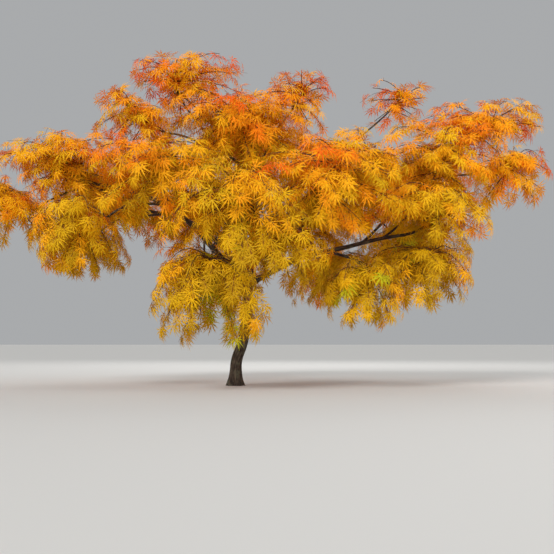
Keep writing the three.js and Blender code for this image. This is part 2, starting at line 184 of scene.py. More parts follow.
# Stems. Their heights and reaches, like the ribs', are shares of the space's half sizes.
# The heights at which a stem may end, and how far it leads on the way its bough was heading
STEM_TOPS = (0.6, 0.45, 0.3, 0.15)
STEM_LEAD = 0.4
STEM_CARRY = 0.45
STEM_STEPS = 8
STEM_TIP_RADIUS = 4

# Ribs: each is tried shorter and shorter until it keeps to its space
RIB_STEPS = 7
RIB_RADII = (3.2, 1.3)
RIB_ARCH_REACH = 0.6
RIB_SHORTENINGS = (1, 0.9, 0.8, 0.7, 0.6, 0.5, 0.4)
RIB_LEAST_COUNT = 3
RIB_SCATTER = 0.5
RIB_LIFT = (-0.22, 0.22)
# The points at a rib's root that may lie outside the space or near a limb, as the stem may
RIB_ROOT_POINTS = 2
# Tiers of ribs: their spacing round the mass, where on the stem they start, how far they
# reach, and the heights of their arch and of their end
STANDING_TIERS = [
    {"spacing": 400, "roots": (0.72, 0.98), "reach": 0.94, "arch": 1, "end": 0.6},
    {"spacing": 420, "roots": (0.6, 0.95), "reach": 0.97, "arch": 0.55, "end": 0.15},
    {"spacing": 500, "roots": (0.5, 0.85), "reach": 0.95, "arch": 0.1, "end": -0.35},
    {"spacing": 950, "roots": (0.8, 0.98), "reach": 0.5, "arch": 1.3, "end": 1.2},
    {"spacing": 620, "roots": (0.4, 0.7), "reach": 0.82, "arch": -0.4, "end": -0.85},
]
WEEPING_TIERS = [
    {"spacing": 440, "roots": (0.72, 0.98), "reach": 0.93, "arch": 1.2, "end": 0.4},
    {"spacing": 440, "roots": (0.6, 0.95), "reach": 0.95, "arch": 0.9, "end": -0.2},
    {"spacing": 460, "roots": (0.5, 0.85), "reach": 0.78, "arch": 0.4, "end": -0.9},
    {"spacing": 950, "roots": (0.8, 0.98), "reach": 0.5, "arch": 1.3, "end": 1},
    {"spacing": 640, "roots": (0.4, 0.7), "reach": 0.5, "arch": -0.3, "end": -1.7},
]

# Sprays: side twigs along a rib, each with leaves in pairs and one at its end
SPRAY_SPACING = 88
SPRAY_LEAST_COUNT = 2
SPRAY_FROM = 0.08
# Lengths at the root and at the end of a rib
SPRAY_LENGTHS = (210, 120)
SPRAY_TURN = (0.55, 1.15)
SPRAY_END_TURN = 0.2
SPRAY_DROOP = (-0.3, 0.5)
SPRAY_SAG = 0.25
SPRAY_STEPS = 2
SPRAY_RADII = (1.2, 0.7)
SPRAY_SHORTENINGS = (1, 0.75, 0.5)
# Round the top of the stem: where they start and how they turn from one to the next
STEM_SPRAYS = {"count": 6, "from": 0.55, "turn": 2.4, "rise": 0.35}

# Leaves, in pairs at shares of a spray and evenly along a rib
LEAF_LENGTHS = (88, 118)
LEAF_PAIRS = (0.3, 0.58, 0.86)
RIB_LEAF_SPACING = 75
RIB_LEAF_LEAST_COUNT = 2
# How the leaves over a rib rise from it
RIB_LEAF_RISE = 0.4
LEAF_TURN = (0.5, 1.3)
# Leaves hang more, the lower in the crown they are
LEAF_LOW_DROOP = (0.5, 1.7)
LEAF_HIGH_DROOP = (-0.4, 0.6)
LEAF_ROLL = (-0.6, 0.6)
# How far down the way out of a space is bowed, which its leaves face
LEAF_BOW = 0.2
LEAF_ROUGHNESS = 0.6
# Masses that the light shines through: the share that is grown of their sprays, and of the
# leaves along their ribs
THIN_MASSES = {
    "top_left": 0.75,
    "left_shoulder": 0.8,
    "top_right": 0.6,
    "right_top": 0.8,
    "high_spray": 0.3,
}
# A rounded opening without leaves, in which the long right bough and its forks show
OPENING = {"centre": (1000, -480, 930), "half": (190, 360, 90)}
# How far a leaf may stand out past the box of the solids, and how near a limb its middle may be
BOX_MARGIN = 6
LIMB_MARGIN = 12

# A leaf's form: seven narrow toothed lobes round the end of a stalk. Shares of its length
LEAF_HEART = 0.3
LEAF_HEART_RISE = 0.05
# The stalk takes the first corners and faces of a leaf
STALK_HALF_WIDTH = 0.008
STALK_CORNERS = 4
STALK_FACES = 2
LEAF_LOBES = [
    {"angle": -110, "reach": 0.36, "teeth": 0},
    {"angle": -66, "reach": 0.54, "teeth": 1},
    {"angle": -31, "reach": 0.64, "teeth": 1},
    {"angle": 0, "reach": 0.68, "teeth": 2},
    {"angle": 31, "reach": 0.64, "teeth": 1},
    {"angle": 66, "reach": 0.54, "teeth": 1},
    {"angle": 110, "reach": 0.36, "teeth": 0},
]
# The foot, waist and tip of a lobe, and its half widths there, as shares of its reach
LOBE_SHARES = (0.04, 0.5, 1)
LOBE_WIDTHS = (0.022, 0.042, 0)
# Teeth: where each starts and ends on its lobe's edge, and where its tip lies along and out
LOBE_TEETH = [(0.28, 0.4, 0.62, 0.13), (0.54, 0.64, 0.85, 0.1)]
# How far out the roots of the teeth lie, as a share of the lobe's half width
TOOTH_ROOT_SHARE = 0.7
LEAF_KINDS = 6
LEAF_KIND_DROOP = (0.35, 1.15)
LEAF_KIND_JITTER = {"angle": 7, "reach": 0.08}

# Tints from low in the crown and inside it to high and outside
TINTS = [
    ("yellow_green", "#beb414"),
    ("olive_gold", "#cc9c0c"),
    ("old_gold", "#dcaa0c"),
    ("gold", "#ecb40e"),
    ("amber", "#f8b00e"),
    ("orange", "#fca00c"),
    ("deep_orange", "#fa860a"),
    ("red_orange", "#ee6408"),
]
STALK_TINT = ("stalk", "#7a3a22")
# How a spray's tint is scored: by its height and place in the crown, its place in its mass
# and by chance
TINT_LEAST = 0.12
TINT_HEIGHT_SHARE = 0.5
TINT_OUTWARD_SHARE = 0.12
TINT_EDGE_SHARE = 0.13
TINT_SCATTER = 0.34
# Patches of the crown that are ahead or behind in turning
TINT_PATCH_SHARE = 0.26
TINT_PATCH_SIZE = 330
TINT_PATCH_START = (1.7, 6.8, 1.7)
CROWN_LOW = 350
CROWN_HIGH = 2200
CROWN_CENTRE = (200, 150)
CROWN_HALF = (1900, 1350)

# Bark: how finely the limbs are drawn, and the collar at each bough's root, which reaches a
# share of the parent's radius along it
TRUNK_RINGS = 180
TRUNK_SIDES = 40
BOUGH_RING_LENGTH = 15
BOUGH_SIDES = 14
COLLAR = {"swell": 0.5, "reach": 1.1}
# Relief, its height a share of the radius: lumps large and small, and flutes, each with how
# often it changes round the limb and the length along the limb in which it changes
BARK_LUMPS = {"height": 0.07, "around": 1, "length": 170}
BARK_FINE_LUMPS = {"height": 0.035, "around": 3.1, "length": 55}
BARK_FLUTES = {"height": 0.03, "around": 3, "length": 210}
BARK_SEED_STEP = 7.3
# Looks: fissures stretched along the limb, their shades, and lichen in blotches
BARK_STRETCH = (1, 1, 0.16)
BARK_FISSURES = {"Scale": 150, "Detail": 6, "Roughness": 0.65}
BARK_SHADES = [(0.34, "#1f1915"), (0.5, "#43372d"), (0.68, "#6b5b4c")]
BARK_BLOTCHES = {"Scale": 22, "Detail": 3, "Roughness": 0.5}
LICHEN_RANGE = {"From Min": 0.52, "From Max": 0.72, "To Max": 0.55}
LICHEN_SHADE = "#6f6f58"
BARK_BUMP = {"Strength": 0.7, "Distance": 0.003}
BARK_GLOSS = {"Roughness": 0.85, "Specular IOR Level": 0.25}
# The specular level of every plain material
PLAIN_SPECULAR = 0.12

# Seeds: each bough and each mass draws its own run of numbers
BOUGH_SEED = 1
MASS_SEED = 100
LEAF_SEED = 500

# Camera: where it stands, how far up it looks and its focal length
CAMERA_PLACE = (267, -5600, 266)
CAMERA_PITCH = 4.4
CAMERA_LENS = 56.5

# Floor and lights, in metres. The lights are aimed at the middle of the crown
FLOOR_WIDTH = 600
FLOOR_SHADE = "#dcdad6"
FLOOR_ROUGHNESS = 0.9
LIGHT_TARGET = (0.2, 0, 1.2)
KEY_LIGHT = {"place": (-3, -6, 5), "spread": 0.42, "strength": 2}
FILL_LIGHT = {"place": (5.2, -5, 3.2), "size": 5, "power": 150}
BACK_LIGHT = {"place": (0.6, 5.6, 5.4), "size": 5, "power": 150}
SURROUND_LIGHT = {"Color": (0.86, 0.88, 0.9, 1), "Strength": 0.46}


# A source of numbers from 0 to 1 that is the same each time
def seeded(seed):
    full = 0xFFFFFFFF
    state = seed & full

    def draw():
        nonlocal state
        state = (state + 0x6D2B79F5) & full
        mixed = ((state ^ (state >> 15)) * (state | 1)) & full
        mixed ^= (mixed + (((mixed ^ (mixed >> 7)) * (mixed | 61)) & full)) & full
        return (mixed ^ (mixed >> 14)) / (full + 1)

    return draw


def lerp(low, high, share):
    return low + (high - low) * share


def unit(vector):
    return vector / np.linalg.norm(vector)


def array(values):
    return np.array(values, dtype=float)


# A vector turned about a unit axis
def turned(vector, axis, angle):
    along_axis = axis * np.dot(axis, vector)
    return (
        along_axis
        + (vector - along_axis) * math.cos(angle)
        + np.cross(axis, vector) * math.sin(angle)
    )


# The point, heading and radius at a share of a course's length
def along(points, radii, share):
    steps = np.diff(points, axis=0)
    spans = np.linalg.norm(steps, axis=1)
    ends = np.cumsum(spans)
    wanted = share * ends[-1]
    index = min(int(np.searchsorted(ends, wanted)), len(spans) - 1)
    part = (wanted - (ends[index] - spans[index])) / spans[index]
    return (
        lerp(points[index], points[index + 1], part),
        steps[index] / spans[index],
        lerp(radii[index], radii[index + 1], part),
    )


# Smooth curve through points that keeps its shape where their spacing changes
def smooth_point(points, place):
    last = len(points) - 1
    span = min(int(place), last - 1)
    part = place - span
    before = points[span - 1] if span > 0 else 2 * points[0] - points[1]
    start = points[span]
    end = points[span + 1]
    after = points[span + 2] if span + 2 <= last else 2 * points[last] - points[last - 1]
    pairs = ((before, start), (start, end), (end, after))
    first, middle, final = (math.sqrt(np.linalg.norm(b - a)) for a, b in pairs)
    step = (end - start) / middle
    leave = (start - before) / first - (end - before) / (first + middle) + step
    arrive = step - (after - start) / (middle + final) + (after - end) / final
    leave = leave * middle
    arrive = arrive * middle
    square = (-3 * start + 3 * end - 2 * leave - arrive) * part**2
    cube = (2 * start - 2 * end + leave + arrive) * part**3
    return start + leave * part + square + cube


def trunk_course(steps):
    points = [array(point) for point, _ in TRUNK_COURSE]
    radii = [radius for _, radius in TRUNK_COURSE]
    spans = len(points) - 1
    places = [step / steps * spans for step in range(steps + 1)]
    course = array([smooth_point(points, place) for place in places])
    return course, np.interp(places, range(len(radii)), radii)


# A bough's curve: its course in any number of steps, its span and its parent's radius there
def bough_curve(bough, parent, random):
    _, _, at, end, slopes = bough
    start, _, parent_radius = along(*parent, at)
    root_radius = parent_radius * BOUGH_ROOT_SHARE
    tip_radius = max(root_radius * BOUGH_TIP_SHARE, BOUGH_LEAST_TIP)
    end = array(end)
    span = np.linalg.norm(end - start)
    level = unit((end - start) * (1, 1, 0))

    def sloping(degrees):
        rise = array((0, 0, math.sin(math.radians(degrees))))
        return level * math.cos(math.radians(degrees)) + rise

    corners = [
        start,
        start + sloping(slopes[0]) * span * BOUGH_CARRY,
        end - sloping(slopes[1]) * span * BOUGH_CARRY,
        end,
    ]
    crooked = array((-level[1], level[0], BOUGH_CROOK_RISE))
    phase = random() * 2 * math.pi
    waves = lerp(*BOUGH_WAVES, random())

    def course(steps):
        share = np.linspace(0, 1, steps + 1)[:, None]
        back = 1 - share
        arch = (
            back**3 * corners[0]
            + 3 * back**2 * share * corners[1]
            + 3 * back * share**2 * corners[2]
            + share**3 * corners[3]
        )
        sway = np.sin(2 * math.pi * waves * share + phase) * np.sin(math.pi * share)
        radii = lerp(root_radius, tip_radius, share[:, 0] ** BOUGH_TAPER)
        return arch + crooked * sway * BOUGH_CROOK * span, radii

    return {"course": course, "span": span, "parent_radius": parent_radius}


# A bough's course in the steps of its bark
def fine_course(curve):
    return curve["course"](round(curve["span"] / BOUGH_RING_LENGTH))


# A curve from its first corner to its last that bends towards the one between
def bent_course(corners, steps, radii):
    share = np.linspace(0, 1, steps + 1)[:, None]
    back = 1 - share
    points = back**2 * corners[0] + 2 * back * share * corners[1] + share**2 * corners[2]
    return points, lerp(radii[0], radii[1], share[:, 0])


# The length of a course up to each of its points
def lengths_along(points):
    return np.concatenate([[0], np.cumsum(np.linalg.norm(np.diff(points, axis=0), axis=1))])


def ring_angles(sides):
    return np.arange(sides) * 2 * math.pi / sides


# A course's heading and the directions across and beside it at each of its points, without
# twist. The first across is Y, or X where the course starts out along Y
def frames_along(points):
    headings = np.gradient(points, axis=0)
    headings /= np.linalg.norm(headings, axis=1)[:, None]
    starts_along_y = abs(headings[0][1]) >= ALONG_LEAST
    across = array((1, 0, 0)) if starts_along_y else array((0, 1, 0))
    acrosses = []
    for heading in headings:
        across = unit(across - heading * np.dot(across, heading))
        acrosses.append(across)
    acrosses = array(acrosses)
    return headings, acrosses, np.cross(headings, acrosses)


# A closed tube of triangles round a course. The scale, if given, has a row for each ring
def tube(points, radii, sides, scale=1, level_foot=False):
    headings, across, beside = frames_along(points)
    if level_foot:
        across[0] = (0, 1, 0)
        beside[0] = np.cross((0, 0, 1), across[0])
    angles = ring_angles(sides)
    reach = (radii[:, None] * scale * np.ones((1, sides)))[:, :, None]
    ring = across[:, None, :] * np.cos(angles)[None, :, None]
    ring = ring + beside[:, None, :] * np.sin(angles)[None, :, None]
    shell = points[:, None, :] + ring * reach
    tip = points[-1] + headings[-1] * radii[-1]
    corners = np.concatenate([shell.reshape(-1, 3), [points[0], tip]])
    here = np.arange(sides)
    beyond = (here + 1) % sides
    rows = (np.arange(len(points) - 1) * sides)[:, None]
    lower = np.stack([rows + here, rows + beyond, rows + beyond + sides], axis=-1)
    upper = np.stack([rows + here, rows + beyond + sides, rows + here + sides], axis=-1)
    foot = len(corners) - 2
    last = (len(points) - 1) * sides
    start_cap = np.stack([np.full(sides, foot), beyond, here], axis=-1)
    end_cap = np.stack([np.full(sides, foot + 1), last + here, last + beyond], axis=-1)
    faces = [lower.reshape(-1, 3), upper.reshape(-1, 3), start_cap, end_cap]
    return corners, np.concatenate(faces)


# Several shapes as one, each given as its corners and faces
def joined(shapes):
    offset = 0
    corners = []
    faces = []
    for points, triangles in shapes:
        corners.append(points)
        faces.append(triangles + offset)
        offset += len(points)
    return np.concatenate(corners), np.concatenate(faces)


def make_piece(name, corners, faces, materials, dealt=None, smooth=False):
    mesh = bpy.data.meshes.new(name)
    mesh.vertices.add(len(corners))
    mesh.vertices.foreach_set("co", (corners * MM).astype(np.float32).ravel())
    mesh.loops.add(faces.size)
    mesh.loops.foreach_set("vertex_index", faces.astype(np.int32).ravel())
    mesh.polygons.add(len(faces))
    mesh.polygons.foreach_set("loop_start", np.arange(0, faces.size, 3, dtype=np.int32))
    for material in materials:
        mesh.materials.append(material)
    if dealt is not None:
        mesh.polygons.foreach_set("material_index", dealt.astype(np.int32))
    mesh.polygons.foreach_set("use_smooth", np.full(len(faces), smooth))
    mesh.update(calc_edges=True)
    piece = bpy.data.objects.new(name, mesh)
    bpy.context.scene.collection.objects.link(piece)
    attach(piece, "root")
    return piece


# Materials. A shade's code as red, green, blue and alpha in linear light
def linear(shade):
    channels = [int(shade[start : start + 2], 16) / 255 for start in (1, 3, 5)]
    return [c / 12.92 if c <= 0.04045 else ((c + 0.055) / 1.055) ** 2.4 for c in channels] + [1]


def set_inputs(node, values):
    for name, value in values.items():
        node.inputs[name].default_value = value


# A new material with its nodes, their links and its shader
def start_material(name):
    material = bpy.data.materials.new(name)
    material.use_nodes = True
    tree = material.node_tree
    return material, tree.nodes, tree.links, tree.nodes["Principled BSDF"]


def plain_material(name, shade, roughness):
    material, _, _, shader = start_material(name)
    looks = {
        "Base Color": linear(shade),
        "Roughness": roughness,
        "Specular IOR Level": PLAIN_SPECULAR,
    }
    set_inputs(shader, looks)
    return material


# Bark: grain that follows each limb in fissures, with blotches of lichen over it
def bark_material():
    material, nodes, links, shader = start_material("bark")
    grain = nodes.new("ShaderNodeAttribute")
    grain.attribute_name = "grain"
    stretched = nodes.new("ShaderNodeMapping")
    set_inputs(stretched, {"Scale": BARK_STRETCH})
    links.new(grain.outputs["Vector"], stretched.inputs["Vector"])

    def noise_layer(source, values):
        layer = nodes.new("ShaderNodeTexNoise")
        set_inputs(layer, values)
        links.new(source.outputs["Vector"], layer.inputs["Vector"])
        return layer.outputs["Fac"]

    fissures = noise_layer(stretched, BARK_FISSURES)
    shades = nodes.new("ShaderNodeValToRGB")
    links.new(fissures, shades.inputs["Fac"])
    set_shades(shades.color_ramp.elements)
    lichen = nodes.new("ShaderNodeMapRange")
    set_inputs(lichen, LICHEN_RANGE)
    links.new(noise_layer(grain, BARK_BLOTCHES), lichen.inputs["Value"])
    mixed = nodes.new("ShaderNodeMix")
    mixed.data_type = "RGBA"
    set_inputs(mixed, {"B": linear(LICHEN_SHADE)})
    links.new(lichen.outputs["Result"], mixed.inputs["Factor"])
    links.new(shades.outputs["Color"], mixed.inputs["A"])
    links.new(mixed.outputs["Result"], shader.inputs["Base Color"])
    bump = nodes.new("ShaderNodeBump")
    set_inputs(bump, BARK_BUMP)
    links.new(fissures, bump.inputs["Height"])
    links.new(bump.outputs["Normal"], shader.inputs["Normal"])
    set_inputs(shader, BARK_GLOSS)
    return material


# The bark's shades on a new ramp, which has an element at each end
def set_shades(elements):
    for element, (place, shade) in zip(elements, (BARK_SHADES[0], BARK_SHADES[-1])):
        element.position = place
        element.color = linear(shade)
    for place, shade in BARK_SHADES[1:-1]:
        elements.new(place).color = linear(shade)


# Bark relief: a share of the radius for each corner of each ring
def bark_relief(points, sides, seed):
    offset = seed * BARK_SEED_STEP
    scale = np.ones((len(points), sides))
    for ring, length in enumerate(lengths_along(points)):
        for side, angle in enumerate(ring_angles(sides)):
            scale[ring, side] += lumps_at(BARK_LUMPS, angle, length, (offset, 0))
            scale[ring, side] += lumps_at(BARK_FINE_LUMPS, angle, length, (0, offset))
            turns = BARK_FLUTES["around"] * angle + length / BARK_FLUTES["length"]
            scale[ring, side] += BARK_FLUTES["height"] * math.sin(turns + offset)
    return scale


def lumps_at(lumps, angle, length, offset):
    aside = lumps["around"] * math.cos(angle) + offset[0]
    ahead = lumps["around"] * math.sin(angle) + offset[1]
    return lumps["height"] * noise.noise(Vector((aside, ahead, length / lumps["length"])))


# Where each corner of a tube lies round and along its limb, in metres, for the grain
def bark_grain(points, radii, sides, offset):
    lengths = lengths_along(points)
    angles = ring_angles(sides)
    rings = np.stack(
        [
            radii[:, None] * np.cos(angles),
            radii[:, None] * np.sin(angles) + offset,
            np.broadcast_to(lengths[:, None], (len(points), sides)),
        ],
        axis=-1,
    )
    ends = [(0, offset, 0), (0, offset, lengths[-1])]
    return np.concatenate([rings.reshape(-1, 3), ends]) * MM


def add_grain(piece, grain):
    attribute = piece.data.attributes.new("grain", "FLOAT_VECTOR", "POINT")
    attribute.data.foreach_set("vector", grain.astype(np.float32).ravel())


# How many times its radius the trunk swells to at each height and angle, towards its roots
def root_flare(heights, angles):
    ridge_share = ROOT_FLARE["ridge_share"]
    ridges = 1 - ridge_share + ridge_share * np.cos(ROOT_FLARE["ridges"] * angles)
    return 1 + ROOT_FLARE["swell"] * np.exp(-heights / ROOT_FLARE["height"]) * ridges


def make_trunk(bark):
    points, radii = trunk_course(TRUNK_RINGS)
    flare = root_flare(points[:, 2:3], ring_angles(TRUNK_SIDES))
    scale = flare * bark_relief(points, TRUNK_SIDES, 0)
    corners, faces = tube(points, radii, TRUNK_SIDES, scale, level_foot=True)
    piece = make_piece("trunk_bark", corners, faces, [bark], smooth=True)
    add_grain(piece, bark_grain(points, radii, TRUNK_SIDES, 0))
    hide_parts("trunk")


# Boughs, each swollen into a collar where it leaves its parent
def make_boughs(bark, curves):
    shapes = []
    grains = []
    for number, curve in enumerate(curves.values(), start=1):
        points, radii = fine_course(curve)
        collar_reach = COLLAR["reach"] * curve["parent_radius"]
        distances = np.linalg.norm(points - points[0], axis=1)
        collar = 1 + COLLAR["swell"] * np.exp(-((distances / collar_reach) ** 2))
        scale = collar[:, None] * bark_relief(points, BOUGH_SIDES, number)
        shapes.append(tube(points, radii, BOUGH_SIDES, scale))
        grains.append(bark_grain(points, radii, BOUGH_SIDES, number))
    piece = make_piece("bough_bark", *joined(shapes), [bark], smooth=True)
    add_grain(piece, np.concatenate(grains))
    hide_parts(*[f"bough_{name}" for name in curves])


# How far from its centre a space with these half sizes reaches along a direction
def reach_along(normal, half):
    power = SPACE_ROUNDNESS / (SPACE_ROUNDNESS - 1)
    level = math.hypot(normal[0] * half[0], normal[1] * half[1]) ** power
    return (level + abs(normal[2] * half[2]) ** power) ** (1 / power)


# The space of a mass, parted from its neighbours by planes midway through their overlaps
class Space:
    def __init__(self, name, centre, half):
        self.centre = array(centre)
        self.half = array(half)
        self.weeps = centre[2] < WEEPING_BELOW
        self.normals = []
        self.limits = []
        for other_name, other_centre, other_half in MASSES:
            if other_name != name:
                self.part_from(array(other_centre), array(other_half))
        self.normals = array(self.normals).reshape(-1, 3)
        self.limits = array(self.limits)

    def part_from(self, other_centre, other_half):
        normal = unit((other_centre - self.centre) / (self.half + other_half) ** 2)
        near_edge = normal @ self.centre + reach_along(normal, self.half)
        far_edge = normal @ other_centre - reach_along(normal, other_half)
        if near_edge > far_edge:
            self.normals.append(normal)
            self.limits.append((near_edge + far_edge) / 2 - CLEARANCE / 2)

    def holds(self, points):
        offset = (points - self.centre) / self.half
        outward = np.hypot(offset[:, 0], offset[:, 1]) ** SPACE_ROUNDNESS
        upward = np.abs(offset[:, 2]) ** SPACE_ROUNDNESS
        inside = outward + upward <= 1
        return inside & np.all(points @ self.normals.T <= self.limits, axis=1)

    # The way out through a point, bowed down, which the leaves face
    def outward_at(self, point):
        outward = unit((point - self.centre) / self.half**2)
        outward[2] -= LEAF_BOW
        return unit(outward)


# Twigs. A stem ends at the highest of its tops that its space holds
def stem_end(heading, space):
    lead = heading * STEM_LEAD
    ends = array([space.centre + space.half * (lead[0], lead[1], top) for top in STEM_TOPS])
    return ends[space.holds(ends).argmax()]


def stem_course(tip, space):
    start, heading, radius = tip
    end = stem_end(heading, space)
    bend = start + heading * np.linalg.norm(end - start) * STEM_CARRY
    return bent_course([start, bend, end], STEM_STEPS, (radius, STEM_TIP_RADIUS))


def rib_course(root, bearing, reach, heights, space):
    def in_space(outward, height):
        place = array((outward * math.cos(bearing), outward * math.sin(bearing), height))
        return space.centre + place * reach * space.half

    bend = in_space(RIB_ARCH_REACH, heights[0])
    return bent_course([root, bend, in_space(1, heights[1])], RIB_STEPS, RIB_RADII)


# Which of some points lie further than the margin from the limbs
def is_clear(points, limbs, margin):
    centres, radii = limbs
    gaps = np.linalg.norm(points[:, None, :] - centres[None, :, :], axis=2) - radii
    return gaps.min(axis=1) > margin


def is_outside_opening(points):
    return np.linalg.norm((points - OPENING["centre"]) / OPENING["half"], axis=1) > 1


def is_within(points, box):
    return (points >= box[0] - BOX_MARGIN).all() and (points <= box[1] + BOX_MARGIN).all()


# How far up the crown a point is, from 0 at its low skirts to 1 at its top
def height_share(point):
    return (point[2] - CROWN_LOW) / (CROWN_HIGH - CROWN_LOW)


def tint_at(point, space, random):
    outward = np.linalg.norm((point[:2] - CROWN_CENTRE) / CROWN_HALF)
    edge = np.linalg.norm(((point - space.centre) / space.half)[:2])
    score = TINT_LEAST + TINT_HEIGHT_SHARE * height_share(point) + TINT_OUTWARD_SHARE * outward
    score += TINT_EDGE_SHARE * edge + TINT_SCATTER * (random() - 0.5)
    score += TINT_PATCH_SHARE * noise.noise(Vector(point / TINT_PATCH_SIZE + TINT_PATCH_START))
    return int(np.clip(score * len(TINTS), 0, len(TINTS) - 1))


# Sides of a twig in turn: -1, 1, -1 and so on
def side_of(index):
    return 1 if index % 2 else -1


# A mass as it grows: a stem from the bough's tip, tiers of ribs round it, sprays and leaves
class Growth:
    def __init__(self, tip, space, limbs, random, fullness):
        self.space = space
        self.limbs = limbs
        self.random = random
        self.fullness = fullness
        self.stem = stem_course(tip, space)
        self.twigs = []
        self.leaves = []
        self.stem_twig = self.add_twig(self.stem, STEM, 0, 0)
        for tier in WEEPING_TIERS if space.weeps else STANDING_TIERS:
            self.add_tier(tier)
        self.add_stem_sprays()

    def between(self, limits):
        return lerp(*limits, self.random())

    def is_free(self, points):
        return self.space.holds(points).all() and is_clear(points, self.limbs, CLEARANCE).all()

    # Each twig knows which twig it grows from, and at what share of it
    def add_twig(self, course, order, parent, share):
        self.twigs.append({"course": course, "order": order, "parent": parent, "share": share})
        return len(self.twigs) - 1

    def add_tier(self, tier):
        girth = math.pi * (self.space.half[0] + self.space.half[1])
        ribs = max(RIB_LEAST_COUNT, round(girth / tier["spacing"]))
        first_bearing = self.random() * 2 * math.pi
        for rib in range(ribs):
            share = lerp(*tier["roots"], rib / ribs)
            root, _, _ = along(*self.stem, share)
            bearing = first_bearing + 2 * math.pi * (rib + RIB_SCATTER * self.random()) / ribs
            lift = self.between(RIB_LIFT)
            heights = (tier["arch"] + lift, tier["end"] + lift)
            for shortening in RIB_SHORTENINGS:
                course = rib_course(root, bearing, tier["reach"] * shortening, heights, self.space)
                if self.is_free(course[0][RIB_ROOT_POINTS:]):
                    self.add_rib(course, share)
                    break

    def add_rib(self, course, stem_share):
        rib = self.add_twig(course, RIB, self.stem_twig, stem_share)
        length = np.linalg.norm(np.diff(course[0], axis=0), axis=1).sum()
        sprays = max(SPRAY_LEAST_COUNT, round(length * (1 - SPRAY_FROM) / SPRAY_SPACING))
        for index in range(sprays):
            self.add_spray(rib, lerp(SPRAY_FROM, 1, index / sprays), side_of(index))
        self.add_spray(rib, 1, SPRAY_END_TURN)
        tint = tint_at(course[0][-1], self.space, self.random)
        places = max(RIB_LEAF_LEAST_COUNT, round(length * self.fullness / RIB_LEAF_SPACING))
        for index in range(places):
            self.add_leaf(rib, index / places, 0, tint, RIB_LEAF_RISE)
            self.add_leaf(rib, index / places, side_of(index), tint)

    # Short sprays that wind round the top of the stem and hide it
    def add_stem_sprays(self):
        for index in range(STEM_SPRAYS["count"]):
            share = lerp(STEM_SPRAYS["from"], 1, index / (STEM_SPRAYS["count"] - 1))
            bearing = STEM_SPRAYS["turn"] * index
            way = array((math.cos(bearing), math.sin(bearing), STEM_SPRAYS["rise"]))
            self.fit_spray(self.stem_twig, share, way, SPRAY_LENGTHS[1])

    def add_spray(self, rib, share, side):
        if self.random() > self.fullness:
            return
        root, heading, _ = along(*self.twigs[rib]["course"], share)
        face = self.space.outward_at(root)
        way = turned(heading, face, side * self.between(SPRAY_TURN))
        way[2] -= self.between(SPRAY_DROOP)
        self.fit_spray(rib, share, way, lerp(*SPRAY_LENGTHS, share))

    def fit_spray(self, parent, share, way, longest):
        root, _, _ = along(*self.twigs[parent]["course"], share)
        way = unit(way)
        for shortening in SPRAY_SHORTENINGS:
            length = longest * shortening
            bend = root + way * length / 2
            end = root + way * length - (0, 0, SPRAY_SAG * length * (1 - abs(way[2])))
            course = bent_course([root, bend, end], SPRAY_STEPS, SPRAY_RADII)
            if self.is_free(course[0][1:]):
                self.add_spray_leaves(self.add_twig(course, SPRAY, parent, share))
                return

    # Leaves of one spray: pairs along it and one that carries on from its end
    def add_spray_leaves(self, spray):
        tint = tint_at(self.twigs[spray]["course"][0][-1], self.space, self.random)
        for share in LEAF_PAIRS:
            for side in (-1, 1):
                self.add_leaf(spray, share, side, tint)
        self.add_leaf(spray, 1, 0, tint)

    # A leaf rises from its rib, or it droops, the more so low in the crown
    def add_leaf(self, twig, share, side, tint, rise=0):
        root, heading, _ = along(*self.twigs[twig]["course"], share)
        face = self.space.outward_at(root)
        way = turned(heading, face, side * self.between(LEAF_TURN))
        if rise:
            way += face * rise
        else:
            height = height_share(root)
            droop = (lerp(low, high, height) for low, high in zip(LEAF_LOW_DROOP, LEAF_HIGH_DROOP))
            way[2] -= self.between(droop)
        way = unit(way)
        leaf = {"twig": twig, "share": share, "root": root, "way": way, "tint": tint}
        leaf["face"] = turned(face, way, self.between(LEAF_ROLL))
        leaf["length"] = self.between(LEAF_LENGTHS)
        leaf["kind"] = int(self.random() * LEAF_KINDS)
        self.leaves.append(leaf)


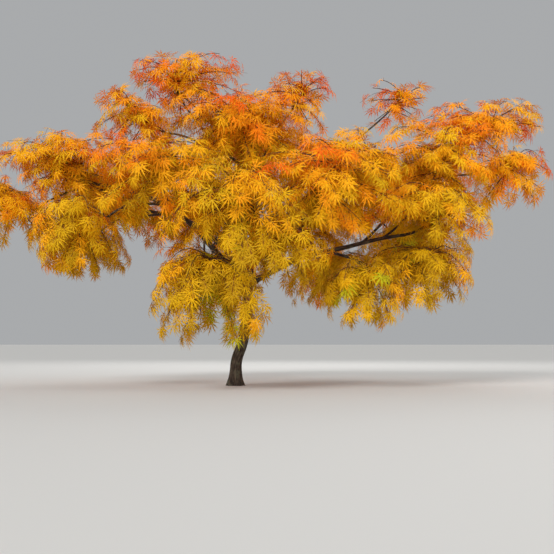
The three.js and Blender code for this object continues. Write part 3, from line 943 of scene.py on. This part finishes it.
# One kind of leaf, one unit long: its corners and faces, with those of its stalk first
class LeafKind:
    def __init__(self, random):
        self.droop = lerp(*LEAF_KIND_DROOP, random())
        stalk = [(0, -STALK_HALF_WIDTH, 0), (0, STALK_HALF_WIDTH, 0)]
        heart = [
            (LEAF_HEART, STALK_HALF_WIDTH, LEAF_HEART_RISE),
            (LEAF_HEART, -STALK_HALF_WIDTH, LEAF_HEART_RISE),
        ]
        self.corners = stalk + heart
        self.faces = [(0, 1, 2), (0, 2, 3)]
        for lobe in LEAF_LOBES:
            angle = math.radians(lobe["angle"] + LEAF_KIND_JITTER["angle"] * (2 * random() - 1))
            reach = lobe["reach"] * (1 + LEAF_KIND_JITTER["reach"] * (2 * random() - 1))
            self.add_lobe(angle, reach, LOBE_TEETH[: lobe["teeth"]])

    # A corner on a lobe, by its share along it and its distance to its side
    def add_corner(self, angle, reach, share, width):
        forward = LEAF_HEART + reach * (share * math.cos(angle) - width * math.sin(angle))
        aside = reach * (share * math.sin(angle) + width * math.cos(angle))
        distance = math.hypot(forward - LEAF_HEART, aside)
        self.corners.append((forward, aside, LEAF_HEART_RISE - self.droop * distance**2))
        return len(self.corners) - 1

    def add_lobe(self, angle, reach, teeth):
        foot, waist = (
            [self.add_corner(angle, reach, share, side * width) for side in (-1, 1)]
            for share, width in zip(LOBE_SHARES[:2], LOBE_WIDTHS)
        )
        tip = self.add_corner(angle, reach, LOBE_SHARES[2], LOBE_WIDTHS[2])
        self.faces.extend([(foot[0], waist[1], foot[1]), (foot[0], waist[0], waist[1])])
        self.faces.append((waist[0], tip, waist[1]))
        for begin, finish, tip_share, tip_width in teeth:
            root_widths = TOOTH_ROOT_SHARE * np.interp((begin, finish), LOBE_SHARES, LOBE_WIDTHS)
            for side in (-1, 1):
                tooth = [
                    self.add_corner(angle, reach, begin, side * root_widths[0]),
                    self.add_corner(angle, reach, tip_share, side * tip_width),
                    self.add_corner(angle, reach, finish, side * root_widths[1]),
                ]
                self.faces.append(tooth if side < 0 else tooth[::-1])

    def shape(self):
        return array(self.corners), np.array(self.faces)


# All the leaves of a mass as one mesh: corners, faces, the tint of each face, and the twig and
# the share along it from which each leaf grows
def leaf_mesh(growth, kinds, box):
    leaves = growth.leaves
    roots, ways, faces_out = (
        array([leaf[part] for leaf in leaves]) for part in ("root", "way", "face")
    )
    lengths = array([leaf["length"] for leaf in leaves])
    across = np.cross(faces_out, ways)
    across /= np.linalg.norm(across, axis=1)[:, None]
    ups = np.cross(ways, across)
    frames = np.stack([ways, across, ups], axis=1) * lengths[:, None, None]
    middles = roots + ways * lengths[:, None] / 2
    kept = is_clear(middles, growth.limbs, LIMB_MARGIN) & is_outside_opening(middles)
    shapes = []
    dealt = []
    places = []
    for index in np.nonzero(kept)[0]:
        leaf = leaves[index]
        corners, faces = kinds[leaf["kind"]]
        placed = corners @ frames[index] + roots[index]
        if growth.space.holds(placed[STALK_CORNERS:]).all() and is_within(placed, box):
            tints = np.full(len(faces), leaf["tint"])
            tints[:STALK_FACES] = len(TINTS)
            shapes.append((placed, faces))
            dealt.append(tints)
            places.append((leaf["twig"], leaf["share"]))
    return *joined(shapes), np.concatenate(dealt), places


# The courses of a mass's twigs with their orders, each cut back to its last leaf or side twig
def leafy_twigs(growth, places):
    reaches = np.full(len(growth.twigs), -1.0)
    reaches[growth.stem_twig] = 1
    for twig, share in places:
        reaches[twig] = max(reaches[twig], share)
    kept = []
    for index in reversed(range(len(growth.twigs))):
        twig = growth.twigs[index]
        if reaches[index] >= 0:
            reaches[twig["parent"]] = max(reaches[twig["parent"]], twig["share"])
            kept.append((cut_back(*twig["course"], reaches[index]), twig["order"]))
    return kept


def cut_back(points, radii, share):
    count = max(2, math.ceil(share * (len(points) - 1)) + 1)
    return points[:count], radii[:count]


# All the twigs of a mass as one mesh: corners, faces, and the order of the twig of each face
def twig_mesh(growth, places, box):
    twigs = [twig for twig in leafy_twigs(growth, places) if is_within(twig[0][0], box)]
    shapes = [tube(*course, TWIG_SIDES[order]) for course, order in twigs]
    orders = [np.full(len(faces), order) for (_, faces), (_, order) in zip(shapes, twigs)]
    return *joined(shapes), np.concatenate(orders)


def make_mass(index, mass, tip, limbs, box, kinds, materials):
    name, centre, half = mass
    space = Space(name, centre, half)
    growth = Growth(tip, space, limbs, seeded(MASS_SEED + index), THIN_MASSES.get(name, 1))
    leaf_corners, leaf_faces, tints, places = leaf_mesh(growth, kinds, box)
    corners, faces, orders = twig_mesh(growth, places, box)
    wood = make_piece(f"twigs_{name}", corners, faces, materials["twigs"], orders, smooth=True)
    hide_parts(f"leaves_{name}")
    foliage = make_piece(f"foliage_{name}", leaf_corners, leaf_faces, materials["leaves"], tints)
    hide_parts(f"leaves_{name}")
    return len(places), len(leaf_faces), len(faces)


# Stage: a pale floor, soft lights and the camera
def make_floor():
    bpy.ops.mesh.primitive_plane_add(size=FLOOR_WIDTH)
    floor = bpy.context.object
    floor.name = "floor"
    floor.data.materials.append(plain_material("floor", FLOOR_SHADE, FLOOR_ROUGHNESS))


def aim_light(data, place):
    light = bpy.data.objects.new(data.name, data)
    light.location = place
    way = Vector(LIGHT_TARGET) - Vector(place)
    light.rotation_euler = way.to_track_quat("-Z", "Y").to_euler()
    bpy.context.scene.collection.objects.link(light)


def make_light(name, values):
    data = bpy.data.lights.new(name, "AREA")
    data.shape = "DISK"
    data.size = values["size"]
    data.energy = values["power"]
    aim_light(data, values["place"])


# A far soft light that reaches the whole floor
def make_far_light(name, values):
    data = bpy.data.lights.new(name, "SUN")
    data.angle = values["spread"]
    data.energy = values["strength"]
    aim_light(data, values["place"])


# Even light from all round
def make_surround():
    world = bpy.data.worlds.new("soft_light")
    world.use_nodes = True
    set_inputs(world.node_tree.nodes["Background"], SURROUND_LIGHT)
    bpy.context.scene.world = world


def make_camera():
    data = bpy.data.cameras.new("camera")
    data.lens = CAMERA_LENS
    camera = bpy.data.objects.new("camera", data)
    camera.location = [value * MM for value in CAMERA_PLACE]
    camera.rotation_euler = (math.radians(90 + CAMERA_PITCH), 0, 0)
    bpy.context.scene.collection.objects.link(camera)
    bpy.context.scene.camera = camera


def make_stage():
    make_camera()
    make_floor()
    make_far_light("key", KEY_LIGHT)
    make_light("fill", FILL_LIGHT)
    make_light("back", BACK_LIGHT)
    make_surround()
    bpy.context.scene.view_settings.view_transform = "Standard"


def plain_box():
    return [[float(value) for value in corner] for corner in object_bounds()]


# Tree. The courses of its limbs in the steps of the solids, and the curves of its boughs
def limb_courses():
    courses = {"trunk": trunk_course(TRUNK_STEPS)}
    curves = {}
    for index, bough in enumerate(BOUGHS):
        name, parent = bough[0], bough[1]
        curve = bough_curve(bough, courses[parent], seeded(BOUGH_SEED + index))
        steps = max(BOUGH_LEAST_STEPS, round(curve["span"] / BOUGH_STEP_LENGTH))
        courses[name] = curve["course"](steps)
        curves[name] = curve
    return courses, curves


# Points all along the limbs and the radii there, of which leaves and twigs keep clear
def limb_points(curves):
    fine = [trunk_course(TRUNK_RINGS), *[fine_course(curve) for curve in curves.values()]]
    points = np.concatenate([course[0] for course in fine])
    return points, np.concatenate([course[1] for course in fine])


def foliage_materials():
    tints = [*TINTS, STALK_TINT]
    leaves = [plain_material(f"leaf_{name}", shade, LEAF_ROUGHNESS) for name, shade in tints]
    twigs = [plain_material(name, shade, TWIG_ROUGHNESS) for name, shade in TWIG_COLOURS]
    return {"leaves": leaves, "twigs": twigs}


def make_tree(box):
    courses, curves = limb_courses()
    bark = bark_material()
    make_trunk(bark)
    make_boughs(bark, curves)
    limbs = limb_points(curves)
    random = seeded(LEAF_SEED)
    kinds = [LeafKind(random).shape() for _ in range(LEAF_KINDS)]
    materials = foliage_materials()
    totals = np.zeros(3, dtype=int)
    for index, mass in enumerate(MASSES):
        source = "trunk" if mass[0] == TRUNK_MASS else mass[0]
        tip = along(*courses[source], 1)
        totals += make_mass(index, mass, tip, limbs, box, kinds, materials)
    print("leaves", totals[0], "leaf triangles", totals[1], "twig triangles", totals[2])


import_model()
solid_box = plain_box()
make_tree(array(solid_box) / MM)
make_stage()
